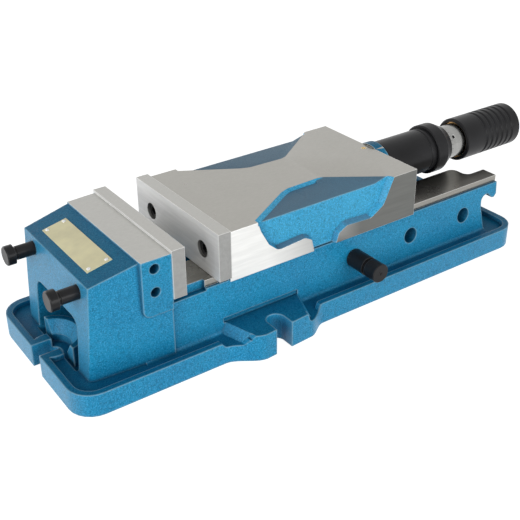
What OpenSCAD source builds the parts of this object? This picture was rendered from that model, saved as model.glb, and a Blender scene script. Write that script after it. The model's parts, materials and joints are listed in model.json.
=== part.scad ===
// Hydraulic machine vise. X runs from the fixed jaw to the handle, Y across, Z up.
// X is 0 at the fixed jaw plate's clamping face, Y at the middle, Z at the base's underside.

/* [Jaws] */
// Width of both jaw plates
jaw_w = 160; // [154:1:172]
// Height of both jaw plates
plate_h = 51.5; // [47:0.5:55]
// Thickness of both jaw plates
plate_t = 14; // [12:0.5:17]
// Opening between the jaw plates at rest
jaw_gap = 36.6; // [26:0.2:46]
// Height of the ground jaw tops above the ways
jaw_rise = 49.5; // [47:0.5:54]
// Distance between the two screws of one jaw plate
plate_screw_pitch = 100; // [94:1:112]
// Height of the plate screws above the ways
plate_screw_rise = 24; // [20:0.5:28]

/* [Base] */
// Height of the ways above the underside
ways_z = 82; // [79:0.5:90]
// Distance from the fixed jaw face to the front end of the flange
flange_front = 127; // [123:1:140]
// Distance from the fixed jaw face to the rear end of the flange
flange_rear = 449; // [444:1:474]
// Half the width of the flange beside the lugs
flange_half = 97; // [92:1:100]
// Height of the flange's rim
flange_h = 24.5; // [22:0.5:28]
// Depth of the chip trough below the rim
trough_d = 5.5; // [3:0.5:8]
// Width of the rim round the trough
rim_w = 7; // [5:0.5:9]
// Corner radius of the flange
flange_r = 26; // [20:1:34]
// Half the width across the side lugs
lug_half = 114.5; // [111:0.5:122]
// Height of the side lugs above the flange's rim
lug_lift = 5; // [3:0.5:7]
// Distance from the fixed jaw face to the middle of the side lugs
lug_x = 90; // [86:1:98]
// Width of the four clamping slots
slot_w = 20; // [16:0.5:22]
// Half the width of the side walls at their foot
wall_half = 74.2; // [73:0.2:76]
// Half the width of the side walls at their top
wall_top_half = 70.2; // [69:0.2:72]
// Half the width of the ground ways
ways_half = 67.4; // [66:0.2:68.4]
// Half the width of the channel between the walls
channel_half = 46; // [45:0.5:50]
// Thickness of the two rails
rail_t = 14; // [13:0.5:15]
// Distance between two anchor holes
anchor_pitch = 83; // [78:1:86]
// Radius of the anchor holes
anchor_hole_r = 9; // [7:0.5:10]

/* [Fixed jaw] */
// Length of the fixed jaw block at its foot, with the plate
fixed_len = 104.5; // [99.5:1:107.5]
// Half the width of the fixed jaw block at its front
fixed_front_half = 70.5; // [65:0.5:74]
// Half the width of the fixed jaw block at its plate
fixed_rear_half = 76.8; // [74:0.2:77]
// Length of the ground land behind the fixed plate
land_len = 32; // [28:1:38]
// Drop of the slanted top at its front edge, from the land
nose_drop = 12.7; // [9:0.1:16]
// Half the width of the arch through the fixed jaw
arch_half = 47; // [42:0.5:50]
// Height of the arch above the underside
arch_z = 74; // [67:0.5:75]
// Length of the nameplate across the jaw
nameplate_w = 100; // [80:1:110]
// Depth of the nameplate, as a share of the slanted top's length
nameplate_share = 0.525; // [0.4:0.005:0.575]

/* [Movable jaw] */
// Length of the movable jaw
saddle_len = 241.8; // [236:0.2:250]
// Half the width of the movable jaw
saddle_half = 77.5; // [76:0.25:78]
// Depth of the skirts below the ways
skirt_d = 5; // [3:0.5:6]
// Depth of the painted side recesses
side_pocket_d = 6; // [4:0.5:7]
// Depth of the painted top recesses
top_pocket_d = 4; // [2:0.5:4.5]
// Thickness of the wall in front of the hollow
front_wall = 33.4; // [30:0.2:36]
// Thickness of the wall behind the hollow
rear_wall = 15.4; // [14:0.2:20]
// Length of the round boss on the rear wall
boss_len = 11.5; // [9:0.5:14]
// Radius of the round boss
boss_r = 28.3; // [27.5:0.1:30]

/* [Spindle] */
// Height of the spindle's axis above the ways
axis_rise = 23.5; // [22.5:0.1:24.5]
// Radius of the lead screw
screw_r = 14; // [12:0.5:14.5]
// Outer radius of the hydraulic sleeve
sleeve_r = 26; // [25.2:0.1:26.4]
// Length of the sleeve from the movable jaw to the collar nut
sleeve_len = 84.6; // [82:0.2:96]
// Bore radius of the high-force cylinder
piston_bore_r = 18; // [17:0.1:18.5]
// Outer radius of the collar nut
nut_r = 29.5; // [28.5:0.5:31.5]
// Length of the collar nut
nut_len = 27; // [25:0.5:30]
// Radius of the graduated barrel
barrel_r = 20; // [19.5:0.1:20.5]
// Length of the barrel seen between nut and handle
barrel_seen = 25.3; // [24.6:0.1:30]
// Radius of the small primary rod
primary_r = 5; // [4:0.25:6]
// Radius of the primary screw
primary_screw_r = 10; // [9:0.5:11]
// Outer radius of the handle sleeve
handle_r = 26; // [25:0.5:28]
// Length of the handle sleeve
handle_len = 92; // [88:1:102]
// Number of grip grooves on the handle
groove_count = 6; // [3:1:6]

/* [Hidden] */
$fn = 64;

// Colours
paint = [0.16, 0.50, 0.70];
ground = [0.72, 0.72, 0.70];
bright = [0.82, 0.83, 0.84];
black = [0.13, 0.13, 0.14];
bronze = [0.72, 0.50, 0.25];
cream = [0.86, 0.82, 0.62];
seal_green = [0.15, 0.30, 0.22];

// Overrun of every cut, and the clearances
cut = 1;
run_gap = 0.05;
seat_gap = 0.02;
face_gap = 0.3;
thread_gap = 0.1;
// How far a sloped bank would rise past the face that it ends at
bank_over = 0.2;
// Steps in an arc of an outline
arc_steps = 6;

// Base: heights and wall details
trough_z = flange_h - trough_d;
lug_h = flange_h + lug_lift;
floor_z = 15;
ledge_share = 0.907;
ledge_z = ledge_share * ways_z;
rail_z = ways_z - rail_t;
rail_slot_half = 25;
foot_fillet = 4;
channel_r = 8;
slot_start = 6;
// Where the ground strip begins, and the cast strip in front of it
strip_start = 27;
cast_strip_half = 64;
cast_strip_share = 0.878;
cast_strip_z = cast_strip_share * ways_z;
// Rear ends of rails, ears and lower wall, back from the flange's end, and the arch under the lip
rail_back = 43;
ear_back = 15;
wall_back = 34;
wall_lean = 6;
rail_end = flange_rear - rail_back;
ear_end = flange_rear - ear_back;
wall_end = flange_rear - wall_back;
rail_corner_r = 8;
ear_inner_half = 48;
ear_corner_r = 8;
lip_z = 56;
lip_tip = 7;
lip_arch_r = 8;
// Lugs: lengths of their curves, platforms, and the step milled into the wall above them
lug_rise_len = 38;
lug_fore = 22;
lug_aft = 36;
lug_fall_len = 26;
lug_fall = 4.5;
pad_wall_fore = 51.6;
pad_wall_aft = 55.2;
pad_rim_fore = 31;
pad_rim_aft = 29.2;
pad_cheek = 6.5;
step_half = 46;
step_top = 5.2;
step_depth = 2.6;
// Rim of the lug, and the dips where coolant drains over the rim, along X from the lug's middle
lug_rim_fore = 36;
lug_rim_aft = 33;
dip_fore = [-69, -59, -43, -32];
dip_aft = [31.5, 35, 53, 63];
dip_r = 5;
// Clamping slots
end_slot_depth = 27;
side_slot_inner = 88.5;
slot_boss_r = 21;
// Keyways in the underside
key_w = 18;
key_d = 6;
key_len = 60;
key_front_x = -70;
key_rear_x = 330;
// Anchor holes
anchor_x = 213;
anchor_z = 47;
// Fixed jaw
fixed_lean = 9;
land_step = 2;
fixed_corner_r = 8;
arch_r = 12;
arch_len = 45;
dam_r = 28.8;
dam_t = 6;
dam_z = 36;
dam_back = 3;
side_pad_inset = 0.5;
side_pad_draft = 1.2;
side_pad_z = 71;
side_pad_r = 8;
stop_hole_r = 5.1;
stop_hole_depth = 20;
stop_hole_inset = 18.3;
stop_hole_drop = 10.1;
stop_hole_pitch = 24.9;
// Front studs
stud_r = 7;
stud_head_r = 10;
stud_head_h = 8.5;
stud_out = 29.5;
stud_in = 24;
stud_edge = 1;
stud_neck_r = 6.2;
stud_neck_len = 3;
// Nameplate and rivets
nameplate_t = 0.8;
nameplate_inset_share = 0.211;
rivet_inset = 4;
rivet_head_r = 2.1;
rivet_head_h = 1.1;
rivet_r = 1.25;
rivet_depth = 5;
// Jaw plates and their cap screws
plate_lift = 0.5;
cap_r = 6;
cap_head_r = 9;
cap_head_h = 7;
cap_sink = 3;
cap_depth = 20;
cap_socket_r = 5;
cap_socket_d = 4;
// Anchor block
anchor_fore = 35;
anchor_aft = 22;
anchor_head_half = 26;
anchor_shank_half = 14.9;
anchor_foot_half = 38;
anchor_foot_fall = 14;
anchor_head_wall = 3.5;
// Position pin
pin_collar_r = 10.5;
pin_collar_end = 100;
pin_neck_r = 8.5;
pin_neck_len = 4;
pin_end = 115;
pin_seat = 73.4;
pin_far = 62;
pin_tip_chamfer = 1.5;
pin_centre_r = 2;
// Movable jaw
way_gap = 0.05;
skirt_gap = 0.25;
hollow_half = 40;
hollow_roof = 7.9;
hollow_r = 6;
pad_r = 13;
pad_seat_d = 4;
bush_wall = 4;
bush_short = 0.4;
oiler_r = 3;
oiler_h = 4.5;
oiler_ball_r = 1.6;
oil_way_r = 1.5;
// Keepers
keeper_gap = 0.1;
keeper_tongue = 9.7;
keeper_t = 9.9;
keeper_half = 45;
keeper_fore = 9.4;
keeper_aft = 7.4;
keeper_screw_r = 3;
keeper_head_r = 5;
keeper_head_h = 6;
keeper_screw_in = 14;
keeper_screw_y = 21;
// Hydraulic spindle
rod_r = 7;
rod_back = 2.1;
thrust_gap = 8;
roller_r = 1.6;
roller_count = 16;
ring_t = 4.4;
ring_r = 17.8;
sleeve_front_t = 11.2;
screw_in_sleeve = 7.5;
thread_len = 11;
thread_drop = 0.6;
head_t = 14;
head_back = 5;
spring_len = 12;
spring_count = 6;
spring_disc_t = 1.1;
spring_r = 17;
spring_gap = 0.05;
piston_t = 16;
seal_groove_d = 2.5;
seal_w = 4;
barrel_flange_t = 3.8;
barrel_in = 35;
sleeve_groove_d = 0.8;
sleeve_groove_w = 2.6;
sleeve_groove_back = 7;
nut_cone_len = 12;
nut_cone_drop = 6;
nut_edge = 1.2;
clutch_back = 9;
clutch_angle = 140.3;
clutch_r = 2.2;
clutch_shoe_len = 3.5;
clutch_sink = 0.6;
clutch_socket_r = 1.1;
clutch_socket_d = 1.5;
ball_r = 4;
ball_sink = 2;
rod_tip_back = 1;
rod_end_back = 22;
handle_clear = 0.4;
handle_rear_t = 21;
handle_edge = 2.5;
bush_len = 12;
bush_t = 2;
bush_inset = 4;
groove_first = 32.2;
groove_pitch = 8.8;
groove_w = 4.4;
groove_d = 1.3;
screw_in_handle = 10;
socket_r = 11;
socket_d = 9;
lock_r = 2.5;
lock_angle = -45;
lock_x_back = 16;
lock_over = 8;

// Places worked out from the sizes
axis_z = ways_z + axis_rise;
jaw_top = ways_z + jaw_rise;
plate_z = ways_z + plate_lift;
cap_z = ways_z + plate_screw_rise;
cap_y = plate_screw_pitch / 2;
lug_slot_y = side_slot_inner + slot_w / 2;
front_slot_x = -flange_front + end_slot_depth - slot_w / 2;
rear_slot_x = flange_rear - end_slot_depth + slot_w / 2;
slant_len = norm([fixed_len - fixed_lean - plate_t - land_len, nose_drop - land_step]);
slant = atan2(nose_drop - land_step, fixed_len - fixed_lean - plate_t - land_len);
nameplate_d = nameplate_share * slant_len;
nameplate_inset = nameplate_inset_share * slant_len;
saddle_x = jaw_gap + plate_t;
saddle_end = saddle_x + saddle_len;
hollow_x = saddle_x + front_wall;
hollow_end = saddle_end - rear_wall;
hollow_z = jaw_top - hollow_roof;
saddle_z = ways_z + way_gap;
boss_end = saddle_end + boss_len;
bush_r = screw_r + run_gap + bush_wall;
screw_x = hollow_x + thrust_gap;
sleeve_x = saddle_end + face_gap;
sleeve_end = saddle_end + sleeve_len;
cylinder_x = sleeve_x + sleeve_front_t;
thread_end = sleeve_end + thread_len;
nut_end = sleeve_end + nut_len;
head_end = sleeve_end - head_back;
head_x = head_end - head_t;
handle_x = nut_end + barrel_seen;
handle_end = handle_x + handle_len;
barrel_end = handle_x + barrel_in;
piston_x = cylinder_x + spring_len;
piston_end = piston_x + piston_t;
rod_tip = hollow_x + rod_back;
primary_tip = head_x - rod_tip_back;
primary_end = head_end + rod_end_back;
ball_x = primary_end + ball_r - ball_sink;
primary_screw_x = ball_x + ball_r - ball_sink;
socket_end = handle_end - handle_rear_t;

// Geometry helpers
function ease(t) = t * t * (3 - 2 * t);
function arc(c, r, a0, a1) =
    [for (i = [0 : arc_steps]) let(a = a0 + (a1 - a0) * i / arc_steps) c + r * [cos(a), sin(a)]];
function turn(a, b) = let(d = b - a) d > 180 ? d - 360 : d < -180 ? d + 360 : d;
function corner(a, b, c, r) = r == 0 ? [b] :
    let(u = (a - b) / norm(a - b), v = (c - b) / norm(c - b), half = acos(u * v) / 2,
        m = b + (u + v) / norm(u + v) * r / sin(half),
        s = b + u * r / tan(half) - m, e = b + v * r / tan(half) - m,
        a0 = atan2(s.y, s.x), t = turn(a0, atan2(e.y, e.x)))
    arc(m, r, a0, a0 + t);
function rounded(p, r) = [for (i = [0 : len(p) - 1])
    each corner(p[(i + len(p) - 1) % len(p)], p[i], p[(i + 1) % len(p)], r[i])];
function mirrored(p) = [for (i = [len(p) - 1 : -1 : 0]) [-p[i].x, p[i].y]];
function flipped(p) = [for (q = p) [q.x, -q.y]];

// A (y, z) outline drawn out along X
module along_x(x, length) {
    translate([x, 0, 0]) rotate([90, 0, 90]) linear_extrude(length) children();
}
// An (x, z) outline drawn out along Y
module along_y(y, length) {
    translate([0, y + length, 0]) rotate([90, 0, 0]) linear_extrude(length) children();
}
module block(low, high) {
    translate(low) cube(high - low);
}
module both_sides() {
    children();
    mirror([0, 1, 0]) children();
}
// A round bar on the spindle's axis
module bar(x0, x1, r) {
    translate([x0, 0, axis_z]) rotate([0, 90, 0]) cylinder(h = x1 - x0, r = r);
}
// A turned shape on the spindle's axis, its outline given as [radius, x]
module turned(outline) {
    translate([0, 0, axis_z]) rotate([0, 90, 0]) rotate_extrude() polygon(outline);
}
// Places children, drawn along +Z, along +X
module facing_x(x, y, z) {
    translate([x, y, z]) rotate([0, 90, 0]) children();
}
// A radial place on the spindle: +Z of the children points outward at the angle
module radial(x, angle) {
    translate([x, 0, axis_z]) rotate([angle - 90, 0, 0]) children();
}
// Cap screw along +Z, the shank's end at 0 and the head on top
module cap_screw(r, length, head_r, head_h, key_r, key_depth) {
    difference() {
        union() {
            cylinder(h = length + head_h / 2, r = r);
            translate([0, 0, length]) cylinder(h = head_h, r = head_r);
        }
        translate([0, 0, length + head_h - key_depth])
            cylinder(h = key_depth + cut, r = key_r, $fn = 6);
    }
}
// A sloped bank beside the line from p to q, as high as h and as wide as w, on its left,
// drawn out past both ends by the lengths in ends
module bank(p, q, w, h, ends) {
    d = q - p;
    top = h + bank_over;
    translate([p.x, p.y, 0]) rotate([0, 0, atan2(d.y, d.x)]) rotate([90, 0, 90])
        translate([0, 0, -ends[0]]) linear_extrude(norm(d) + ends[0] + ends[1])
            polygon([[-w, -cut], [w + cut * w / top, -cut], [-cut * w / top, top + cut], [-w, top + cut]]);
}

// Flange outline with its lugs, drawn in by d
lug_steps = 10;
function lug_side(d) = [
    for (i = [0 : lug_steps]) [lug_x - lug_fore - lug_rise_len * (1 - i / lug_steps),
        flange_half - d + (lug_half - flange_half) * ease(i / lug_steps)],
    for (i = [0 : lug_steps]) [lug_x + lug_aft + lug_fall_len * i / lug_steps,
        flange_half - d + (lug_half - lug_fall - flange_half) * ease(1 - i / lug_steps)]];
function flange_outline(d) = concat(
    arc([flange_r - flange_front, flange_r - flange_half], flange_r - d, 180, 270),
    flipped(lug_side(d)),
    arc([flange_rear - flange_r, flange_r - flange_half], flange_r - d, 270, 360),
    arc([flange_rear - flange_r, flange_half - flange_r], flange_r - d, 0, 90),
    [for (i = [2 * lug_steps + 1 : -1 : 0]) lug_side(d)[i]],
    arc([flange_r - flange_front, flange_half - flange_r], flange_r - d, 90, 180));

// Side view of a dip in the rim, from its four places along X
function dip_outline(d) = rounded([[lug_x + d[0], lug_h + cut], [lug_x + d[1], trough_z],
    [lug_x + d[2], trough_z], [lug_x + d[3], lug_h + cut]], [0, dip_r, dip_r, 0]);

// Flange with its rim, higher at the lugs, and the dips beside them
module flange() {
    dip_y = flange_half - rim_w - cut;
    linear_extrude(trough_z) polygon(flange_outline(0));
    difference() {
        union() {
            difference() {
                linear_extrude(flange_h) polygon(flange_outline(0));
                translate([0, 0, trough_z]) linear_extrude(flange_h) polygon(flange_outline(rim_w));
            }
            intersection() {
                linear_extrude(lug_h) polygon(flange_outline(0));
                both_sides() block([lug_x - lug_rim_fore, dip_y, 0], [lug_x + lug_rim_aft,
                    lug_half + cut, lug_h]);
            }
        }
        both_sides() along_y(dip_y, lug_half + cut - dip_y) {
            polygon(dip_outline(dip_fore));
            polygon(dip_outline(dip_aft));
        }
    }
}

// Flat platform of a side lug, with sloped cheeks down into the trough
module lug_platform() {
    rim_y = lug_half + cut;
    a = [lug_x - pad_wall_fore, channel_half];
    b = [lug_x - pad_rim_fore, rim_y];
    c = [lug_x + pad_rim_aft, rim_y];
    d = [lug_x + pad_wall_aft, channel_half];
    intersection() {
        linear_extrude(lug_h) polygon(flange_outline(0));
        linear_extrude(lug_h) polygon([d, c, b, a]);
    }
    intersection() {
        linear_extrude(lug_h) polygon(flange_outline(rim_w - cut));
        translate([0, 0, trough_z]) union() {
            bank(a, b, pad_cheek, lug_h - trough_z, [pad_cheek, pad_cheek]);
            bank(c, d, pad_cheek, lug_h - trough_z, [pad_cheek, pad_cheek]);
        }
    }
}

// Half of the wall's outer section, as (y, z)
wall_half_section = [[wall_half + 2 * foot_fillet, 0], [wall_half + 2 * foot_fillet, trough_z],
    [wall_half, trough_z], [wall_top_half, ledge_z], [ways_half, ledge_z], [ways_half, ways_z]];
wall_radii = [0, 0, foot_fillet, 0, 0, 0];
wall_section = concat(wall_half_section, mirrored(wall_half_section));
wall_section_radii = concat(wall_radii, [for (i = [len(wall_radii) - 1 : -1 : 0]) wall_radii[i]]);
// Side view of the walls' rear end, with the lip and the arch under it
wall_front = -plate_t - land_len;
rear_profile = rounded([[wall_front, 0], [wall_end, 0], [wall_end, trough_z],
    [wall_end - wall_lean, lip_z - lip_arch_r], [wall_end - wall_lean, lip_z + lip_tip],
    [ear_end - 2 * lip_tip, lip_z + lip_tip], [ear_end - lip_tip, lip_z],
    [ear_end - lip_tip / 2, lip_z], [ear_end, lip_z + lip_tip / 2], [ear_end, ways_z + cut],
    [wall_front, ways_z + cut]],
    [0, 0, 0, 0, lip_arch_r, 0, 0, 0, 0, 0, 0]);

module side_walls() {
    intersection() {
        along_x(wall_front, ear_end - wall_front) polygon(rounded(wall_section, wall_section_radii));
        along_y(-wall_half - 3 * foot_fillet, 2 * wall_half + 6 * foot_fillet) polygon(rear_profile);
    }
}

// Fixed jaw block, narrower at its front and slanted on top
module fixed_block() {
    front_top_x = fixed_lean - fixed_len;
    land_x = -plate_t - land_len;
    intersection() {
        along_y(-jaw_w / 2, jaw_w) polygon([[-fixed_len, 0], [-plate_t, 0], [-plate_t, jaw_top],
            [land_x, jaw_top], [land_x, jaw_top - land_step], [front_top_x, jaw_top - nose_drop]]);
        linear_extrude(jaw_top + cut) polygon(rounded([[-fixed_len, -fixed_front_half],
            [-plate_t, -fixed_rear_half], [-plate_t, fixed_rear_half], [-fixed_len, fixed_front_half]],
            [fixed_corner_r, 0, 0, fixed_corner_r]));
    }
}

// Raised machined pad on the near side, for a work stop
module side_pad() {
    x0 = -plate_t - land_len;
    face = side_pad_inset - jaw_w / 2;
    intersection() {
        along_x(x0, land_len) polygon([[-fixed_front_half, side_pad_z], [-fixed_front_half, jaw_top],
            [face, jaw_top], [face + side_pad_draft, side_pad_z]]);
        along_y(-jaw_w / 2, jaw_w / 2) polygon(rounded([[x0, side_pad_z], [-plate_t, side_pad_z],
            [-plate_t, jaw_top], [x0, jaw_top]], [side_pad_r, 0, 0, 0]));
    }
}

// Clamping slots through the flange: one at each end, one in each lug
module clamping_slots() {
    for (end = [[front_slot_x, -flange_front - cut], [rear_slot_x, flange_rear + cut]]) {
        translate([end[0], 0, -cut]) cylinder(h = flange_h + 2 * cut, r = slot_w / 2);
        block([min(end), -slot_w / 2, -cut], [max(end), slot_w / 2, flange_h + cut]);
    }
    both_sides() {
        translate([lug_x, lug_slot_y, -cut]) cylinder(h = lug_h + 2 * cut, r = slot_w / 2);
        block([lug_x - slot_w / 2, lug_slot_y, -cut],
            [lug_x + slot_w / 2, lug_half + cut, lug_h + cut]);
    }
}

// Steps milled into the walls over the lugs
module lug_steps_cut() {
    both_sides() block([lug_x - step_half, wall_half - step_depth, lug_h],
        [lug_x + step_half, wall_half + 2 * foot_fillet, lug_h + step_top]);
}

// The channel between the walls, the slot between the rails and the arch in front
module channel_cuts() {
    arch_outline = [[arch_half, floor_z], [arch_half, arch_z]];
    channel_outline = [[channel_half, floor_z], [channel_half, rail_z]];
    channel_x = -fixed_len + arch_len - cut;
    along_x(-fixed_len - cut, arch_len + cut)
        polygon(rounded(concat(arch_outline, mirrored(arch_outline)), [channel_r, arch_r, arch_r,
            channel_r]));
    along_x(channel_x, wall_end - channel_x)
        polygon(rounded(concat(channel_outline, mirrored(channel_outline)), [channel_r, 0, 0, channel_r]));
    block([wall_end - cut, -channel_half, trough_z], [ear_end + cut, channel_half, rail_z]);
    slot_side = [[ear_end + cut, ear_inner_half], [rail_end, ear_inner_half], [rail_end, rail_slot_half],
        [slot_start, rail_slot_half]];
    slot_radii = [0, ear_corner_r, rail_corner_r, channel_r];
    translate([0, 0, rail_z - cut]) linear_extrude(rail_t + 2 * cut) polygon(rounded(
        concat(slot_side, [for (i = [len(slot_side) - 1 : -1 : 0]) [slot_side[i].x, -slot_side[i].y]]),
        concat(slot_radii, [for (i = [len(slot_radii) - 1 : -1 : 0]) slot_radii[i]])));
}

// Curved dam round the front slot's boss, seen through the arch
module dam() {
    slope = (dam_r - slot_boss_r) / (dam_z - flange_h);
    intersection() {
        translate([front_slot_x, 0, 0]) difference() {
            translate([0, 0, floor_z - cut]) cylinder(h = dam_z - floor_z + cut, r = dam_r + dam_t);
            cylinder(h = flange_h, r = slot_boss_r - cut);
            translate([0, 0, flange_h - cut]) cylinder(h = dam_z - flange_h + 2 * cut,
                r1 = slot_boss_r - cut * slope, r2 = dam_r + cut * slope);
        }
        block([dam_back - fixed_len, -arch_half, 0], [front_slot_x + dam_r + dam_t, arch_half, dam_z]);
    }
}

// Keyways in the underside for locating keys, along and across the table
module keyways() {
    for (x = [key_front_x, key_rear_x])
        block([x, -key_w / 2, -cut], [x + key_len, key_w / 2, key_d]);
    both_sides() block([lug_x - key_w / 2, channel_half, -cut],
        [lug_x + key_w / 2, side_slot_inner + cut, key_d]);
}

// Holes for plate screws, front studs, the anchor pin, the work stop and the rivets
module base_holes() {
    both_sides() {
        facing_x(-plate_t - cap_depth - cap_sink, cap_y, cap_z)
            cylinder(h = cap_depth + cap_sink + cut, r = cap_r + thread_gap);
        facing_x(-fixed_len - cut, cap_y, cap_z)
            cylinder(h = stud_in + fixed_lean + cut, r = stud_r + thread_gap);
    }
    for (i = [0 : 2]) translate([anchor_x + i * anchor_pitch, wall_half + cut, anchor_z]) rotate([90, 0, 0])
        cylinder(h = 2 * wall_half + 2 * cut, r = anchor_hole_r);
    for (i = [0, 1]) translate([-plate_t - stop_hole_inset, -jaw_w / 2 - cut,
            jaw_top - stop_hole_drop - i * stop_hole_pitch]) rotate([-90, 0, 0])
        cylinder(h = stop_hole_depth + cut, r = stop_hole_r);
    on_slant() rivet_places() translate([0, 0, -rivet_depth])
        cylinder(h = rivet_depth + cut, r = rivet_r + thread_gap);
}

module base_casting() color(paint) {
    difference() {
        union() {
            flange();
            side_walls();
            fixed_block();
            side_pad();
            both_sides() lug_platform();
            intersection() {
                linear_extrude(flange_h) polygon(flange_outline(0));
                for (x = [front_slot_x, rear_slot_x]) translate([x, 0, 0])
                    cylinder(h = flange_h, r = slot_boss_r);
            }
        }
        channel_cuts();
        both_sides() block([-plate_t, cast_strip_half, cast_strip_z],
            [strip_start, wall_half, ways_z + cut]);
        lug_steps_cut();
        clamping_slots();
        keyways();
        base_holes();
    }
    dam();
}

// Frame on the slanted top, its X up the slant from the front edge
module on_slant() {
    translate([fixed_lean - fixed_len, 0, jaw_top - nose_drop]) rotate([0, -slant, 0]) children();
}
module rivet_places() {
    for (x = [nameplate_inset + rivet_inset, nameplate_inset + nameplate_d - rivet_inset], side = [-1, 1])
        translate([x, side * (nameplate_w / 2 - rivet_inset), 0]) children();
}

module nameplate() color(cream) {
    on_slant() difference() {
        block([nameplate_inset, -nameplate_w / 2, 0], [nameplate_inset + nameplate_d, nameplate_w / 2,
            nameplate_t]);
        rivet_places() translate([0, 0, -cut])
            cylinder(h = nameplate_t + 2 * cut, r = rivet_r + thread_gap);
    }
}

module nameplate_rivets() color(bright) {
    dome = [for (i = [0 : arc_steps])
        [rivet_head_r * cos(90 * i / arc_steps), rivet_head_h * sin(90 * i / arc_steps)]];
    on_slant() rivet_places() {
        translate([0, 0, nameplate_t]) rotate_extrude() polygon(concat([[0, 0]], dome));
        translate([0, 0, -rivet_depth]) cylinder(h = rivet_depth + nameplate_t, r = rivet_r);
    }
}

// A jaw plate with its clamping face at x = 0 and its body towards -X
module jaw_plate() {
    difference() {
        block([-plate_t, -jaw_w / 2, plate_z], [0, jaw_w / 2, plate_z + plate_h]);
        both_sides() {
            facing_x(-plate_t - cut, cap_y, cap_z) cylinder(h = plate_t + 2 * cut, r = cap_r + thread_gap);
            facing_x(-cap_head_h - cap_sink, cap_y, cap_z)
                cylinder(h = cap_head_h + cap_sink + cut, r = cap_head_r + thread_gap);
        }
    }
}
module jaw_screws() {
    length = plate_t - cap_head_h - cap_sink + cap_depth;
    both_sides() facing_x(-cap_head_h - cap_sink - length, cap_y, cap_z)
        cap_screw(cap_r, length, cap_head_r, cap_head_h, cap_socket_r, cap_socket_d);
}
// The movable jaw carries the same plate, turned to face the fixed one
module on_movable() {
    translate([jaw_gap, 0, 0]) mirror([1, 0, 0]) children();
}
module fixed_jaw_plate() color(ground) { jaw_plate(); }
module fixed_jaw_screws() color(black) { jaw_screws(); }
module movable_jaw_plate() color(ground) { on_movable() jaw_plate(); }
module movable_jaw_screws() color(black) { on_movable() jaw_screws(); }

module front_studs() color(black) {
    face_x = -fixed_len + fixed_lean * cap_z / (jaw_top - nose_drop);
    neck_end = stud_head_h + stud_neck_len;
    both_sides() facing_x(face_x - stud_out, cap_y, cap_z) rotate_extrude() polygon([
        [0, 0], [stud_head_r - stud_edge, 0], [stud_head_r, stud_edge], [stud_head_r, stud_head_h],
        [stud_neck_r, stud_head_h], [stud_neck_r, neck_end], [stud_r, neck_end],
        [stud_r, stud_out + stud_in], [0, stud_out + stud_in]]);
}

// Threaded anchor that the lead screw runs in, hooked under the rails and held by the pin
module anchor_block() color(black) {
    x0 = anchor_x - anchor_fore;
    x1 = anchor_x + anchor_aft;
    foot_top = rail_z - keeper_t - face_gap - 2 * keeper_gap;
    difference() {
        union() {
            block([x0, -anchor_head_half, saddle_z + face_gap],
                [x1, anchor_head_half, axis_z + screw_r + anchor_head_wall]);
            block([x0, -anchor_shank_half, anchor_z], [x1, anchor_shank_half, axis_z]);
            block([x0, -anchor_foot_half, anchor_z - anchor_foot_fall], [x1, anchor_foot_half, foot_top]);
        }
        bar(x0 - cut, x1 + cut, screw_r + run_gap);
        translate([anchor_x, anchor_foot_half + cut, anchor_z]) rotate([90, 0, 0])
            cylinder(h = 2 * anchor_foot_half + 2 * cut, r = anchor_hole_r);
    }
}

// Pull-out pin: shank through both walls and the anchor, collar, neck and knob outside
module position_pin() color(black) {
    shank_r = anchor_hole_r - run_gap;
    translate([anchor_x, 0, anchor_z]) rotate([90, 0, 0]) rotate_extrude() polygon([
        [0, -pin_far], [shank_r - pin_tip_chamfer, -pin_far], [shank_r, -pin_far + pin_tip_chamfer],
        [shank_r, pin_seat], [pin_collar_r, pin_seat], [pin_collar_r, pin_collar_end - pin_neck_len],
        [pin_neck_r, pin_collar_end - pin_neck_len], [pin_neck_r, pin_collar_end],
        [pin_collar_r, pin_collar_end], [pin_collar_r, pin_end - pin_tip_chamfer / 2],
        [pin_collar_r - pin_tip_chamfer / 2, pin_end], [pin_centre_r, pin_end], [0,
            pin_end - pin_centre_r]]);
}

// Painted side recess, as (x from the jaw's front, height below its top)
side_recess_shares = [[0.136, 0], [0.151, 0.199], [0.191, 0.52], [0.238, 0.703], [0.378, 0.656],
    [0.413, 0.74], [0.432, 1.1], [0.541, 1.1], [0.562, 0.81], [0.605, 0.703], [0.742, 0.734],
    [0.812, 0.539], [0.866, 0]];
side_recess_r = 8;
side_recess = [for (s = side_recess_shares)
    [saddle_x + s.x * saddle_len, jaw_top - s.y * (jaw_top - ways_z + skirt_d)]];
side_radius_shares = [0, 0, 0.5, 1.5, 0.6, 0.5, 0, 0, 0.6, 1, 1.8, 1.8, 0];
side_widths = [1.5, 1.5, 2, 2.5, 2.5, 2, 0, 2, 3, 3.5, 4, 4];
// Painted top recess, as (x from the jaw's front, distance from the middle)
top_recess_shares = [[0.886, 1.02], [0.622, 0.439], [0.589, 0.406], [0.419, 0.426], [0.374, 0.477],
    [0.137, 0.925], [0.137, 1.02]];
top_recess = [for (s = top_recess_shares) [saddle_x + s.x * saddle_len, -s.y * saddle_half]];
top_radius_shares = [0, 0.5, 0.5, 1, 1, 0, 0];
top_widths = [9, 3, 2, 3, 4];

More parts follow.
